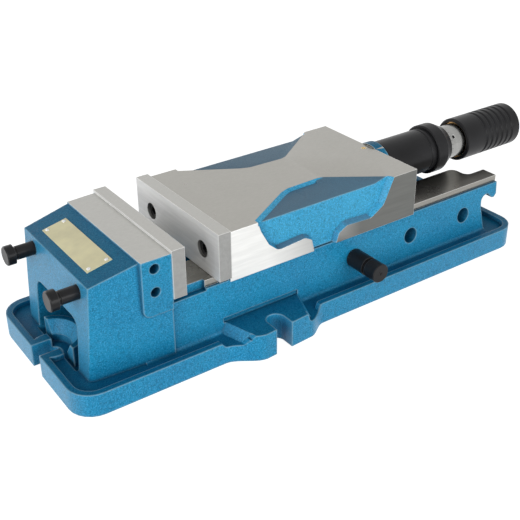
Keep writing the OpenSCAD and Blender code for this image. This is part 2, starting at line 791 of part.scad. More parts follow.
// A recess below z = 0 with banks along the sides of its outline. Where the outline turns in round
// a tongue of the solid, the banks end short and a cone joins them.
module recess(outline, radii, widths, depth) {
    n = len(outline);
    span = [for (i = [0 : n - 1]) let(a = outline[(i + n - 1) % n], b = outline[i], c = outline[(i + 1) % n],
        u = (a - b) / norm(a - b), v = (c - b) / norm(c - b), half = acos(u * v) / 2)
        cross(b - a, c - b) < 0 ? [-radii[i] / tan(half), b + (u + v) / norm(u + v) * radii[i] / sin(half)]
            : [0, b]];
    difference() {
        translate([0, 0, -depth]) linear_extrude(depth + cut) polygon(rounded(outline, radii));
        translate([0, 0, -depth]) for (i = [0 : len(widths) - 1]) if (widths[i] > 0) {
            w = widths[i];
            bank(outline[i], outline[i + 1], w, depth,
                [for (k = [i, i + 1]) span[k][0] < 0 ? span[k][0] : w]);
            if (span[i][0] < 0 && i > 0 && widths[i - 1] > 0) {
                mean = (w + widths[i - 1]) / 2;
                top = depth + bank_over;
                translate([span[i][1].x, span[i][1].y, -cut])
                    cylinder(h = top + cut, r1 = radii[i] + mean * (top + cut) / top, r2 = radii[i]);
            }
        }
    }
}

module movable_jaw() color(paint) {
    inner = ways_half + skirt_gap;
    difference() {
        union() {
            block([saddle_x, -saddle_half, ways_z - skirt_d], [saddle_end, saddle_half, jaw_top]);
            bar(saddle_end - rear_wall / 2, boss_end, boss_r);
        }
        block([saddle_x - cut, -inner, ways_z - skirt_d - cut], [saddle_end, inner, saddle_z]);
        hollow_cut();
        both_sides() {
            translate([0, 0, jaw_top])
                recess(top_recess, side_recess_r * top_radius_shares, top_widths, top_pocket_d);
            translate([0, -saddle_half, 0]) rotate([90, 0, 0])
                recess(side_recess, side_recess_r * side_radius_shares, side_widths, side_pocket_d);
            facing_x(saddle_x - cut, cap_y, cap_z)
                cylinder(h = cap_depth + cap_sink + cut, r = cap_r + thread_gap);
            for (x = [keeper_front_x(), keeper_rear_x()]) translate([x, keeper_screw_y, saddle_z - cut])
                cylinder(h = keeper_screw_in + cut, r = keeper_screw_r + thread_gap);
        }
        bar(hollow_x - pad_seat_d, hollow_x + cut, pad_r + seat_gap);
        bar(hollow_end - cut, saddle_end + cut, bush_r + seat_gap);
        bar(saddle_end, boss_end + cut, sleeve_r + run_gap);
        translate([saddle_end - rear_wall / 2, 0, axis_z]) cylinder(h = jaw_rise, r = oil_way_r);
        translate([saddle_end - rear_wall / 2, 0, jaw_top - oiler_h])
            cylinder(h = oiler_h + cut, r = oiler_r + seat_gap);
    }
}

// Hollow of the movable jaw, open below, that the anchor's head stands in
module hollow_cut() {
    translate([0, 0, ways_z - skirt_d - cut]) linear_extrude(hollow_z - ways_z + skirt_d + cut)
        polygon(rounded([[hollow_x, -hollow_half], [hollow_end, -hollow_half],
            [hollow_end, hollow_half], [hollow_x, hollow_half]], [hollow_r, hollow_r, hollow_r, hollow_r]));
}

// Keepers: bars with a tongue between the rails and a flange below them
function keeper_front_x() = hollow_x - front_wall / 2;
function keeper_rear_x() = hollow_end + keeper_aft / 2;
module keeper() {
    x0 = saddle_x + keeper_fore;
    x1 = hollow_end + keeper_aft;
    y0 = rail_slot_half - keeper_gap - keeper_tongue;
    z0 = rail_z - keeper_gap - keeper_t;
    difference() {
        union() {
            block([x0, y0, z0], [x1, y0 + keeper_tongue, saddle_z]);
            block([x0, y0, z0], [x1, keeper_half, z0 + keeper_t]);
        }
        for (x = [keeper_front_x(), keeper_rear_x()]) {
            translate([x, keeper_screw_y, z0 - cut])
                cylinder(h = rail_t + keeper_t + 2 * cut, r = keeper_screw_r + thread_gap);
            translate([x, keeper_screw_y, z0 - cut])
                cylinder(h = keeper_head_h + cut, r = keeper_head_r + thread_gap);
        }
    }
}
module keeper_far() color(black) { keeper(); }
module keeper_near() color(black) { mirror([0, 1, 0]) keeper(); }
module keeper_screws() color(black) {
    z0 = rail_z - keeper_gap - keeper_t;
    length = saddle_z + keeper_screw_in - z0 - keeper_head_h - cut;
    both_sides() for (x = [keeper_front_x(), keeper_rear_x()])
        translate([x, keeper_screw_y, z0 + keeper_head_h]) rotate([180, 0, 0]) translate([0, 0, -length])
            cap_screw(keeper_screw_r, length, keeper_head_r, keeper_head_h, keeper_screw_r - thread_gap,
                keeper_screw_r);
}

module rear_bush() color(bronze) {
    difference() {
        bar(hollow_end, saddle_end - bush_short, bush_r);
        bar(hollow_end - cut, saddle_end, screw_r + run_gap);
        translate([saddle_end - rear_wall / 2, 0, axis_z]) cylinder(h = jaw_rise, r = oil_way_r);
    }
}
module thrust_pad() color(bronze) {
    bar(hollow_x - pad_seat_d, hollow_x - thread_gap, pad_r);
}
// Ball oiler over the rear bush: a brass cup with its steel ball
module ball_oiler() color(bronze) {
    translate([saddle_end - rear_wall / 2, 0, jaw_top - oiler_h]) {
        difference() {
            cylinder(h = oiler_h - thread_gap, r = oiler_r);
            translate([0, 0, oiler_h - oiler_ball_r]) cylinder(h = oiler_h, r = oiler_ball_r + thread_gap);
        }
        translate([0, 0, oiler_h - oiler_ball_r + seat_gap]) intersection() {
            sphere(r = oiler_ball_r);
            cylinder(h = oiler_ball_r, r = oiler_ball_r);
        }
    }
}

// Lead screw: a plain bar at its outer size, bored for the push rod
module lead_screw() color(bright) {
    difference() {
        bar(screw_x, sleeve_x + screw_in_sleeve, screw_r);
        bar(screw_x - cut, sleeve_x + screw_in_sleeve + cut, rod_r + run_gap);
    }
}
module pull_ring() color(black) {
    difference() {
        bar(hollow_end - face_gap - ring_t, hollow_end - face_gap, ring_r);
        bar(hollow_end - ring_r, hollow_end, screw_r + seat_gap);
    }
}
// Needle thrust bearing between the lead screw's end and the movable jaw
module thrust_bearing() color(bright) {
    inner = rod_r + 2 * roller_r / 2;
    race = (thrust_gap - face_gap - 2 * roller_r - 2 * seat_gap) / 2;
    for (x = [hollow_x + face_gap, screw_x - race]) difference() {
        bar(x, x + race, screw_r);
        bar(x - cut, x + race + cut, inner);
    }
    for (i = [0 : roller_count - 1])
        radial(hollow_x + face_gap + race + seat_gap + roller_r, i * 360 / roller_count)
        translate([0, 0, inner + seat_gap + roller_r / 4])
            cylinder(h = screw_r - inner - roller_r / 2, r = roller_r);
}

// Hydraulic sleeve: front wall on the lead screw, cylinder bore behind, thread for the nut
module spindle_sleeve() color(black) {
    groove = sleeve_end - sleeve_groove_back;
    difference() {
        turned([[0, sleeve_x], [sleeve_r, sleeve_x], [sleeve_r, groove - sleeve_groove_w / 2],
            [sleeve_r - sleeve_groove_d, groove], [sleeve_r, groove + sleeve_groove_w / 2], [sleeve_r,
                sleeve_end],
            [sleeve_r - thread_drop, sleeve_end], [sleeve_r - thread_drop, thread_end], [0, thread_end]]);
        bar(sleeve_x - cut, sleeve_x + screw_in_sleeve, screw_r + seat_gap);
        bar(sleeve_x - cut, cylinder_x + cut, rod_r + run_gap);
        bar(cylinder_x, thread_end + cut, piston_bore_r);
    }
}
module collar_nut() color(black) {
    shoulder = thread_end + barrel_flange_t + seat_gap;
    difference() {
        turned([[0, sleeve_end], [nut_r - nut_edge, sleeve_end], [nut_r, sleeve_end + nut_edge],
            [nut_r, nut_end - nut_cone_len], [nut_r - nut_cone_drop, nut_end], [0, nut_end]]);
        bar(sleeve_end - cut, shoulder, sleeve_r - thread_drop + seat_gap);
        bar(shoulder - cut, nut_end + cut, barrel_r + seat_gap);
    }
}
// Barrel: spigot in the sleeve, flange under the nut, and the graduated length behind
module graduated_barrel() color(bright) {
    difference() {
        turned([[0, head_end], [piston_bore_r - seat_gap, head_end], [piston_bore_r - seat_gap, thread_end],
            [sleeve_r - thread_drop - thread_gap, thread_end],
            [sleeve_r - thread_drop - thread_gap, thread_end + barrel_flange_t],
            [barrel_r, thread_end + barrel_flange_t], [barrel_r, barrel_end], [0, barrel_end]]);
        bar(head_end - cut, barrel_end + cut, primary_screw_r + run_gap);
        radial(nut_end + clutch_back, clutch_angle) cylinder(h = barrel_r + cut, r = clutch_r + seat_gap);
    }
}
// Gland that closes the cylinder and guides the primary rod, with a groove for its seal
module cylinder_head() color(bright) {
    mid = head_x + head_t / 2;
    difference() {
        bar(head_x, head_end, piston_bore_r - seat_gap);
        bar(head_x - cut, head_end + cut, primary_r + run_gap);
        bar(mid - seal_w / 2, mid + seal_w / 2, primary_r + seal_groove_d);
    }
}
module rod_seal() color(seal_green) {
    mid = head_x + head_t / 2;
    difference() {
        bar(mid - seal_w / 2 + seat_gap, mid + seal_w / 2 - seat_gap, primary_r + seal_groove_d - seat_gap);
        bar(head_x, head_end, primary_r + run_gap);
    }
}
// Brake shoe and its screw: hold barrel and primary screw together until the load rises
module clutch_shoe() color(bronze) {
    radial(nut_end + clutch_back, clutch_angle) translate([0, 0, primary_screw_r + 2 * run_gap])
        cylinder(h = clutch_shoe_len - seat_gap, r = clutch_r);
}
module clutch_screw() color(black) {
    z0 = primary_screw_r + 2 * run_gap + clutch_shoe_len;
    z1 = barrel_r - clutch_sink;
    radial(nut_end + clutch_back, clutch_angle) difference() {
        translate([0, 0, z0]) cylinder(h = z1 - z0, r = clutch_r);
        translate([0, 0, z1 - clutch_socket_d])
            cylinder(h = clutch_socket_d + cut, r = clutch_socket_r, $fn = 6);
    }
}

// Large piston and its push rod, which reaches through the lead screw to the thrust pad
module output_piston() color(bright) {
    mid = (piston_x + piston_end) / 2;
    difference() {
        bar(piston_x, piston_end, piston_bore_r - run_gap);
        difference() {
            bar(mid - seal_w / 2, mid + seal_w / 2, piston_bore_r + cut);
            bar(mid - seal_w, mid + seal_w, piston_bore_r - seal_groove_d);
        }
    }
    bar(rod_tip, piston_x + cut, rod_r);
}
module piston_seal() color(seal_green) {
    mid = (piston_x + piston_end) / 2;
    difference() {
        bar(mid - seal_w / 2 + seat_gap, mid + seal_w / 2 - seat_gap, piston_bore_r - run_gap);
        bar(piston_x, piston_end, piston_bore_r - seal_groove_d + seat_gap);
    }
}
// Dished return springs between the sleeve's front wall and the piston
module disc_springs() color(bright) {
    pitch = spring_len / spring_count;
    rise = pitch - spring_disc_t - spring_gap;
    inner = rod_r + face_gap;
    for (i = [0 : spring_count - 1]) {
        x = cylinder_x + i * pitch + spring_gap / 2;
        a = i % 2 == 0 ? rise : 0;
        b = rise - a;
        turned([[inner, x + a], [spring_r, x + b], [spring_r, x + b + spring_disc_t], [inner,
            x + a + spring_disc_t]]);
    }
}

module primary_rod() color(bright) {
    difference() {
        bar(primary_tip, primary_end, primary_r);
        translate([ball_x, 0, axis_z]) sphere(r = ball_r + seat_gap);
    }
}
module thrust_ball() color(bright) {
    translate([ball_x, 0, axis_z]) sphere(r = ball_r);
}

module primary_screw() color(bright) {
    difference() {
        bar(primary_screw_x, socket_end + screw_in_handle, primary_screw_r);
        translate([ball_x, 0, axis_z]) sphere(r = ball_r + run_gap);
        lock_hole();
    }
}
// Handle sleeve: travels over the barrel, grip grooves outside, drive socket in its end
module handle_sleeve() color(black) {
    bore_r = barrel_r + handle_clear;
    grooves = [for (i = [0 : groove_count - 1], k = [0 : arc_steps])
        [handle_r - groove_d * sin(180 * k / arc_steps),
            handle_x + groove_first + i * groove_pitch + groove_w * (k / arc_steps - 1 / 2)]];
    difference() {
        turned(concat([[0, handle_x], [handle_r - handle_edge / 2, handle_x], [handle_r,
            handle_x + handle_edge / 2]],
            grooves, [[handle_r, handle_end - handle_edge], [handle_r - handle_edge, handle_end], [0,
                handle_end]]));
        bar(handle_x - cut, socket_end, bore_r);
        bar(handle_x - cut, handle_x + bush_inset + bush_len, barrel_r + bush_t);
        bar(socket_end - cut, socket_end + screw_in_handle, primary_screw_r + seat_gap);
        facing_x(handle_end - socket_d, 0, axis_z) cylinder(h = socket_d + cut, r = socket_r, $fn = 6);
        lock_hole();
    }
}
// Bronze guide bush in the handle's mouth, running on the barrel
module handle_bush() color(bronze) {
    difference() {
        bar(handle_x + bush_inset, handle_x + bush_inset + bush_len, barrel_r + bush_t - seat_gap);
        bar(handle_x - cut, handle_x + 2 * bush_len, barrel_r + run_gap);
    }
}
module lock_hole() {
    radial(handle_end - lock_x_back, lock_angle) translate([0, 0, -lock_over])
        cylinder(h = lock_over + handle_r + cut, r = lock_r + seat_gap);
}
module lock_pin() color(bright) {
    radial(handle_end - lock_x_back, lock_angle) translate([0, 0, -lock_over])
        cylinder(h = lock_over + handle_r - cut, r = lock_r);
}

base_casting();
fixed_jaw_plate();
fixed_jaw_screws();
front_studs();
nameplate();
nameplate_rivets();
anchor_block();
position_pin();
movable_jaw();
movable_jaw_plate();
movable_jaw_screws();
keeper_near();
keeper_far();
keeper_screws();
rear_bush();
thrust_pad();
ball_oiler();
lead_screw();
spindle_sleeve();
pull_ring();
thrust_bearing();
collar_nut();
graduated_barrel();
cylinder_head();
rod_seal();
clutch_shoe();
clutch_screw();
output_piston();
piston_seal();
disc_springs();
primary_rod();
thrust_ball();
handle_sleeve();
handle_bush();
primary_screw();
lock_pin();
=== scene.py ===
import json
import math

import bmesh
import bpy
from mathutils import Matrix, Vector


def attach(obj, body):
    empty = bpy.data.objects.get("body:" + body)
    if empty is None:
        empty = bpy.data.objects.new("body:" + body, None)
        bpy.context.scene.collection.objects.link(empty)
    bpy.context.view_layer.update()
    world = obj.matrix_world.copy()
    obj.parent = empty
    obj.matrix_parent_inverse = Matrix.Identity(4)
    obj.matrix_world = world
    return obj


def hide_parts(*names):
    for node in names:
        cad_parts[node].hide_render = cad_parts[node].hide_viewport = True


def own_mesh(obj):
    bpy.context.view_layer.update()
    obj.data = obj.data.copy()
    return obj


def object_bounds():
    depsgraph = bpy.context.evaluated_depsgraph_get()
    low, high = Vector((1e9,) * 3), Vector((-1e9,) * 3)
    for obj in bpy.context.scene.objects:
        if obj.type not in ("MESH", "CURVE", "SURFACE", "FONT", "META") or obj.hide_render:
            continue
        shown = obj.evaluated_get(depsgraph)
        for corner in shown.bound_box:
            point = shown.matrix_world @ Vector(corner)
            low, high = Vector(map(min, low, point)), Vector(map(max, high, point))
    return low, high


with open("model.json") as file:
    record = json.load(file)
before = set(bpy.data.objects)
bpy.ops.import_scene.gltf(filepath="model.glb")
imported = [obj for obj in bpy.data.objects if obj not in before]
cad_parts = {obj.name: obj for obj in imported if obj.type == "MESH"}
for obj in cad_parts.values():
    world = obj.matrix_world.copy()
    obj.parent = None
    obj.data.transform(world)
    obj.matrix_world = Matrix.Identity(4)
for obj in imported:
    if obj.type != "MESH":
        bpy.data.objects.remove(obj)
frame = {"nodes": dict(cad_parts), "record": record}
cad_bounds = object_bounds()

MM = 0.001
UP = (0, 0, 1)
BLACK = (0, 0, 0)
WHITE = (1, 1, 1)

# Camera, solved from the photograph: its place in metres, its angles in degrees
CAMERA_PLACE = (-0.35592, -0.70316, 0.53551)
CAMERA_AZIMUTH = -33.025
CAMERA_ELEVATION = 28.448
CAMERA_ROLL = -1.507
VIEW_REACH = 20
PICTURE = 520
FOCAL_PIXELS = 900.88
PRINCIPAL_POINT = (229.59, 232.84)
SENSOR = 36.0


def add_object(name, data):
    """A new object in the scene."""
    made = bpy.data.objects.new(name, data)
    bpy.context.scene.collection.objects.link(made)
    return made


def make_camera():
    data = bpy.data.cameras.new("camera")
    data.sensor_width = SENSOR
    data.lens = FOCAL_PIXELS / PICTURE * SENSOR
    data.shift_x = (PICTURE / 2 - PRINCIPAL_POINT[0]) / PICTURE
    data.shift_y = (PRINCIPAL_POINT[1] - PICTURE / 2) / PICTURE
    data.clip_end = VIEW_REACH
    camera = add_object("camera", data)
    az, el, roll = (math.radians(a) for a in (CAMERA_AZIMUTH, CAMERA_ELEVATION, CAMERA_ROLL))
    back = Vector((math.sin(az) * math.cos(el), -math.cos(az) * math.cos(el), math.sin(el)))
    right = (-back).cross(Vector(UP)).normalized()
    up = right.cross(-back)
    x = right * math.cos(roll) + up * math.sin(roll)
    y = up * math.cos(roll) - right * math.sin(roll)
    turn = Matrix((x, y, back)).transposed().to_4x4()
    camera.matrix_world = Matrix.Translation(Vector(CAMERA_PLACE)) @ turn
    bpy.context.scene.camera = camera


make_camera()
bpy.context.scene.view_settings.view_transform = "Standard"


# Node trees

# Sockets of the Mix node while it mixes colours
MIX_FIRST, MIX_SECOND, MIX_RESULT = 6, 7, 2

SHADER_INPUTS = {
    "color": "Base Color",
    "metal": "Metallic",
    "rough": "Roughness",
    "normal": "Normal",
    "specular": "Specular IOR Level",
}


def with_alpha(value):
    """Adds the fourth number to a colour, and leaves a socket as it is."""
    return value if isinstance(value, bpy.types.NodeSocket) else (*value, 1)


def even(level):
    """A grey of one level."""
    return (level, level, level)


class Tree:
    """A material's nodes, added one call at a time."""

    def __init__(self, name):
        self.material = bpy.data.materials.new(name)
        self.material.use_nodes = True
        self.nodes = self.material.node_tree.nodes
        self.links = self.material.node_tree.links
        self.shader = self.nodes["Principled BSDF"]

    def add(self, kind, **settings):
        node = self.nodes.new(kind)
        for key, value in settings.items():
            setattr(node, key, value)
        return node

    def put(self, socket, value):
        if isinstance(value, bpy.types.NodeSocket):
            self.links.new(value, socket)
        else:
            socket.default_value = value

    def place(self, stretch=(1, 1, 1)):
        coordinates = self.add("ShaderNodeTexCoord")
        mapping = self.add("ShaderNodeMapping")
        mapping.inputs["Scale"].default_value = stretch
        self.put(mapping.inputs["Vector"], coordinates.outputs["Object"])
        return mapping.outputs["Vector"]

    def noise(self, scale, detail=2.0, roughness=0.5, stretch=(1, 1, 1)):
        node = self.add("ShaderNodeTexNoise")
        self.put(node.inputs["Vector"], self.place(stretch))
        node.inputs["Scale"].default_value = scale
        node.inputs["Detail"].default_value = detail
        node.inputs["Roughness"].default_value = roughness
        return node.outputs["Fac"]

    def ramp(self, factor, stops):
        node = self.add("ShaderNodeValToRGB")
        for element, (position, value) in zip(node.color_ramp.elements, stops):
            element.position = position
            element.color = with_alpha(value)
        self.put(node.inputs["Fac"], factor)
        return node.outputs["Color"]

    def grey(self, factor, low, high, start=0.3, end=0.7):
        """One level below start, another above end, and an even change between them."""
        return self.ramp(factor, [(start, even(low)), (end, even(high))])

    def mix(self, factor, first, second):
        node = self.add("ShaderNodeMix", data_type="RGBA")
        self.put(node.inputs["Factor"], factor)
        self.put(node.inputs[MIX_FIRST], with_alpha(first))
        self.put(node.inputs[MIX_SECOND], with_alpha(second))
        return node.outputs[MIX_RESULT]

    def round_edges(self, radius):
        node = self.add("ShaderNodeBevel", samples=6)
        node.inputs["Radius"].default_value = radius
        return node.outputs["Normal"]

    def shelter(self, distance, inside=False):
        """1 on open faces, falling at inner corners, or at outer edges when taken inside."""
        node = self.add("ShaderNodeAmbientOcclusion", inside=inside, only_local=True, samples=8)
        node.inputs["Distance"].default_value = distance
        return node.outputs["AO"]

    def fade_along_x(self, start, end):
        """0 to 1 along X, between two places in metres."""
        split = self.add("ShaderNodeSeparateXYZ")
        self.put(split.inputs[0], self.place())
        node = self.add("ShaderNodeMapRange")
        node.inputs["From Min"].default_value = start
        node.inputs["From Max"].default_value = end
        self.put(node.inputs["Value"], split.outputs["X"])
        return node.outputs["Result"]

    def facing(self, direction, start, end):
        """0 to 1 as the face turns to a direction."""
        geometry = self.add("ShaderNodeNewGeometry")
        node = self.add("ShaderNodeVectorMath", operation="DOT_PRODUCT")
        self.put(node.inputs[0], geometry.outputs["Normal"])
        node.inputs[1].default_value = direction
        return self.grey(node.outputs["Value"], 0, 1, start, end)

    def bump(self, height, distance, strength, normal):
        node = self.add("ShaderNodeBump")
        node.inputs["Distance"].default_value = distance
        node.inputs["Strength"].default_value = strength
        self.put(node.inputs["Height"], height)
        self.put(node.inputs["Normal"], normal)
        return node.outputs["Normal"]

    def shade(self, **values):
        for key, value in values.items():
            if key == "color":
                value = with_alpha(value)
            self.put(self.shader.inputs[SHADER_INPUTS[key]], value)
        return self.material


# Materials. Colours are linear, and distances and radii are in metres

FRONT = (-1, 0, 0)
# Painted sheen: the grey-blue toward which faces turned to -X are paled
FRONT_SHEEN = (0.50, 0.60, 0.66)
# Painted shade: the dark blue laid into deep corners and hollows
DEEP_SHADE = (0.001, 0.050, 0.120)
# Painted shade: the dark blue laid into tight inner corners
INNER_SHADE = (0.002, 0.050, 0.110)
# Painted highlight: the pale blue of the enamel's outer edges, where they catch the light
EDGE_HIGHLIGHT = (0.36, 0.64, 0.78)
# Painted highlight: the near-white of the ground steel's outer edges
STEEL_EDGE_HIGHLIGHT = (0.90, 0.90, 0.88)
# The grey to which the black oxide's outer edges are lightened
BLACK_PALE_EDGE = (0.12, 0.12, 0.12)


def paint_material(name, dark, light, top, top_share):
    """Blue enamel over a rough casting: a finely pebbled skin, with painted highlights at its
    crests and outer edges, painted shade in corners and on upward faces, and a painted sheen on
    faces turned to -X.
    """
    t = Tree(name)
    pebbles = t.noise(900, detail=2.0, roughness=0.65)
    clouds = t.noise(16)
    base = t.ramp(clouds, [(0.35, dark), (0.65, light)])
    pit_tone = tuple(0.4 * c for c in dark)
    # Painted highlight: the paler tone of the pebbles' crests, as if they caught the light
    crest_highlight = tuple(min(1, 1.3 * c + 0.04) for c in light)

    pit_mask = t.grey(t.noise(430, detail=3.0, roughness=0.6), 0.45, 0, start=0.38, end=0.52)
    pits = t.mix(pit_mask, base, pit_tone)
    # Painted highlight: the pebbles' crests are paled
    skin = t.mix(t.grey(pebbles, 0, 1, start=0.46, end=0.66), pits, crest_highlight)
    # Painted sheen: faces turned to -X are paled toward a grey-blue, for the sheen of the light
    # on them
    front_sheen_mask = t.mix(t.facing(FRONT, start=0.55, end=0.95), BLACK, even(0.06))
    front_sheened = t.mix(front_sheen_mask, skin, FRONT_SHEEN)
    # Painted shade: faces turned up are darkened toward the top colour, by top_share
    top_shade_mask = t.mix(t.facing(UP, start=0.70, end=0.95), BLACK, even(top_share))
    top_shaded = t.mix(top_shade_mask, front_sheened, top)

    # Painted shade: darkening within 45 mm of other faces of the same part
    deep_shade_mask = t.grey(t.shelter(0.045), 0.55, 0, start=0.30, end=0.85)
    deep_shaded = t.mix(deep_shade_mask, top_shaded, DEEP_SHADE)
    # Painted shade: darkening within 6 mm of other faces, in tight inner corners
    inner_shade_mask = t.grey(t.shelter(0.006), 0.75, 0, start=0.35, end=0.85)
    inner_shaded = t.mix(inner_shade_mask, deep_shaded, INNER_SHADE)
    # Painted highlight: outer edges, found from the inside within 2.2 mm, are paled
    edge_highlight_mask = t.grey(t.shelter(0.0022, inside=True), 0.60, 0, start=0.50, end=0.86)
    edge_highlighted = t.mix(edge_highlight_mask, inner_shaded, EDGE_HIGHLIGHT)

    normal = t.bump(pebbles, distance=0.0005, strength=0.7, normal=t.round_edges(0.0026))
    shine = t.mix(t.facing(UP, start=0.70, end=0.95), even(0.24), even(0.10))
    return t.shade(color=edge_highlighted, rough=t.grey(clouds, 0.27, 0.35), normal=normal, specular=shine)


def steel_material(name, tone, rough, grain, depth, fade=None, metal=1.0):
    """Ground steel: faint grain lines, of a depth in metres, over a nearly even tone.

    The fade is a painted reflection that dims the tone along X; it gives two places along X and
    the tone that it reaches at the second.
    """
    t = Tree(name)
    lines = t.noise(240, detail=3, roughness=0.6, stretch=grain)
    clouds = t.noise(22, detail=3, roughness=0.6)
    # Painted reflection: the tone dims along X when a fade is given
    light = t.mix(t.fade_along_x(*fade[:2]), tone, fade[2]) if fade else tone
    color = t.mix(t.grey(lines, 0, 0.10, start=0.35, end=0.65), light, BLACK)
    # Painted highlight: outer edges of the ground steel are paled
    pale_edge_mask = t.grey(t.shelter(0.0009, inside=True), 0.6, 0, start=0.55, end=0.86)
    pale_edged = t.mix(pale_edge_mask, color, STEEL_EDGE_HIGHLIGHT)
    return t.shade(color=pale_edged, metal=metal, rough=t.grey(clouds, rough - 0.03, rough + 0.04),
                   normal=t.bump(lines, depth, strength=0.4, normal=t.round_edges(0.0007)))


def black_material():
    """Black oxide on machined steel: dark, with a soft oily shine."""
    t = Tree("black_oxide")
    clouds = t.noise(30, detail=3)
    color = t.ramp(clouds, [(0.3, (0.008, 0.008, 0.009)), (0.7, (0.016, 0.016, 0.018))])
    # Outer edges of the black oxide are lightened toward a grey
    pale_edge_mask = t.grey(t.shelter(0.0009, inside=True), 0.5, 0, start=0.55, end=0.86)
    pale_edged = t.mix(pale_edge_mask, color, BLACK_PALE_EDGE)
    return t.shade(color=pale_edged, rough=t.grey(clouds, 0.28, 0.38), specular=0.20,
                   normal=t.bump(t.noise(700, roughness=0.6), distance=0.00003, strength=0.4,
                                 normal=t.round_edges(0.0006)))


def plain_metal(name, color, rough, metal=1.0):
    """A small part's metal, rubber or enamel: one tone with faint clouds and grain."""
    t = Tree(name)
    clouds = t.noise(60, detail=3)
    dark = tuple(c * 0.85 for c in color)
    return t.shade(color=t.mix(t.grey(clouds, 0, 1), dark, color), metal=metal,
                   rough=t.grey(clouds, rough - 0.05, rough + 0.05),
                   normal=t.bump(t.noise(900), distance=0.00002, strength=0.4,
                                 normal=t.round_edges(0.0004)))


# The grain's scale along X, Y and Z. Its lines run the way in which the number is small
TOP_GRAIN = (1, 8, 1)
SIDE_GRAIN = (0.08, 1, 1)
WAY_GRAIN = (0.06, 1, 1)
PLATE_GRAIN = (1, 0.06, 1)
TURNED_GRAIN = (1, 0.1, 0.1)
FINE, COARSE = 0.00001, 0.00002

MATERIALS = {
    # The top colours and shares are painted shade on upward faces
    "paint": paint_material(
        "blue_enamel", dark=(0.003, 0.250, 0.490), light=(0.008, 0.300, 0.550),
        top=(0.000, 0.050, 0.115), top_share=0.55),
    # Painted light: a lighter copy of the same blue enamel for the movable jaw, whose faces are
    # lit more than the base's
    "paint_lit_jaw": paint_material(
        "blue_enamel_lit_jaw", dark=(0.034, 0.385, 0.680), light=(0.048, 0.445, 0.750),
        top=(0.135, 0.205, 0.275), top_share=0.85),
    "ground_top": steel_material(
        "ground_top", (0.40, 0.39, 0.36), 0.30, TOP_GRAIN, FINE),
    "ground_land": steel_material(
        "ground_land", (0.47, 0.465, 0.44), 0.30, TOP_GRAIN, FINE),
    # Painted reflection: the ground sides are a much lighter copy of the ground steel, dimming
    # from the jaw's front toward its rear
    "ground_side": steel_material(
        "ground_side", (0.80, 0.80, 0.78), 0.36, SIDE_GRAIN, FINE,
        fade=(0.095, 0.215, (0.155, 0.158, 0.150))),
    "way": steel_material(
        "way", (0.300, 0.290, 0.265), 0.28, WAY_GRAIN, COARSE),
    "plate_steel": steel_material(
        "plate_steel", (0.34, 0.34, 0.33), 0.50, PLATE_GRAIN, FINE, metal=0.75),
    # Painted light: a much lighter copy of the plate steel for the broad faces of the jaw plates
    "plate_face_lit": steel_material(
        "plate_face_lit", (0.86, 0.86, 0.85), 0.55, PLATE_GRAIN, FINE, metal=0.35),
    "bright_steel": steel_material(
        "bright_steel", (0.34, 0.34, 0.33), 0.22, TURNED_GRAIN, COARSE),
    "black_steel": black_material(),
    "cast_iron": plain_metal("cast_iron", (0.10, 0.10, 0.10), 0.5, metal=0.6),
    "bronze": plain_metal("bronze", (0.60, 0.36, 0.15), 0.3),
    "brass": plain_metal("brass", (0.75, 0.55, 0.25), 0.22),
    "spring_steel": plain_metal("spring_steel", (0.32, 0.32, 0.33), 0.3),
    "seal_rubber": plain_metal("seal_rubber", (0.02, 0.08, 0.06), 0.5, metal=0.0),
    "plate_cream": plain_metal("plate_cream", (1.00, 0.93, 0.58), 0.36, metal=0.0),
    "rivet_metal": plain_metal("rivet_metal", (0.70, 0.70, 0.69), 0.3),
}


# The castings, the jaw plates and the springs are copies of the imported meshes, shaded smooth
# between their sharp edges. The movable jaw's copy loses the part of its rear boss that rises
# through the ground top.

MERGE_DISTANCE = 0.00001
SHARP_ANGLE = 28

# How close a place or a normal is to count as on a face, in mm, and as square to an axis
ON_FACE = 0.3
SQUARE = 0.9

# Where the ground faces lie, in mm
GROUND_TOP_Z = 131.5
WAYS_Z = 82
RAIL_SIDE_Y = 67.4
RAIL_SIDE_LOW_Z = 73
PLATE_SEAT_X = -14
SADDLE_SIDE_Y = 77.5
SADDLE_FRONT_X = 50.6
SADDLE_REAR_X = 292.4
SADDLE_UNDERSIDE_Z = 83
REAR_BOSS_X = 292.6
BOSS_TRIM = ((260, -40, GROUND_TOP_Z), (SADDLE_REAR_X, 40, 140))


def cut_away(piece, low, high):
    """Cuts a box, given by two corners in mm, out of a piece."""
    mesh = bpy.data.meshes.new("cutter")
    shape = bmesh.new()
    low, high = Vector(low) * MM, Vector(high) * MM
    placed = Matrix.LocRotScale((low + high) / 2, None, high - low)
    bmesh.ops.create_cube(shape, size=1, matrix=placed)
    shape.to_mesh(mesh)
    shape.free()
    cutter = add_object("cutter", mesh)
    boolean = piece.modifiers.new("trim", "BOOLEAN")
    boolean.operation = "DIFFERENCE"
    boolean.object = cutter
    evaluated = piece.evaluated_get(bpy.context.evaluated_depsgraph_get())
    trimmed = bpy.data.meshes.new_from_object(evaluated)
    piece.modifiers.clear()
    piece.data = trimmed
    bpy.data.objects.remove(cutter)


def smooth_copy(name, node, trim):
    """A copy of a CAD node's mesh, shaded smooth between its sharp edges."""
    mesh = frame["nodes"][node].data.copy()
    mesh.name = name
    shape = bmesh.new()
    shape.from_mesh(mesh)
    bmesh.ops.remove_doubles(shape, verts=shape.verts, dist=MERGE_DISTANCE)
    shape.to_mesh(mesh)
    shape.free()
    mesh.materials.clear()
    if "custom_normal" in mesh.attributes:
        mesh.attributes.remove(mesh.attributes["custom_normal"])
    piece = add_object(name, mesh)
    if trim:
        cut_away(piece, *trim)
    piece.data.shade_smooth()
    piece.data.set_sharp_from_angle(angle=math.radians(SHARP_ANGLE))
    return piece


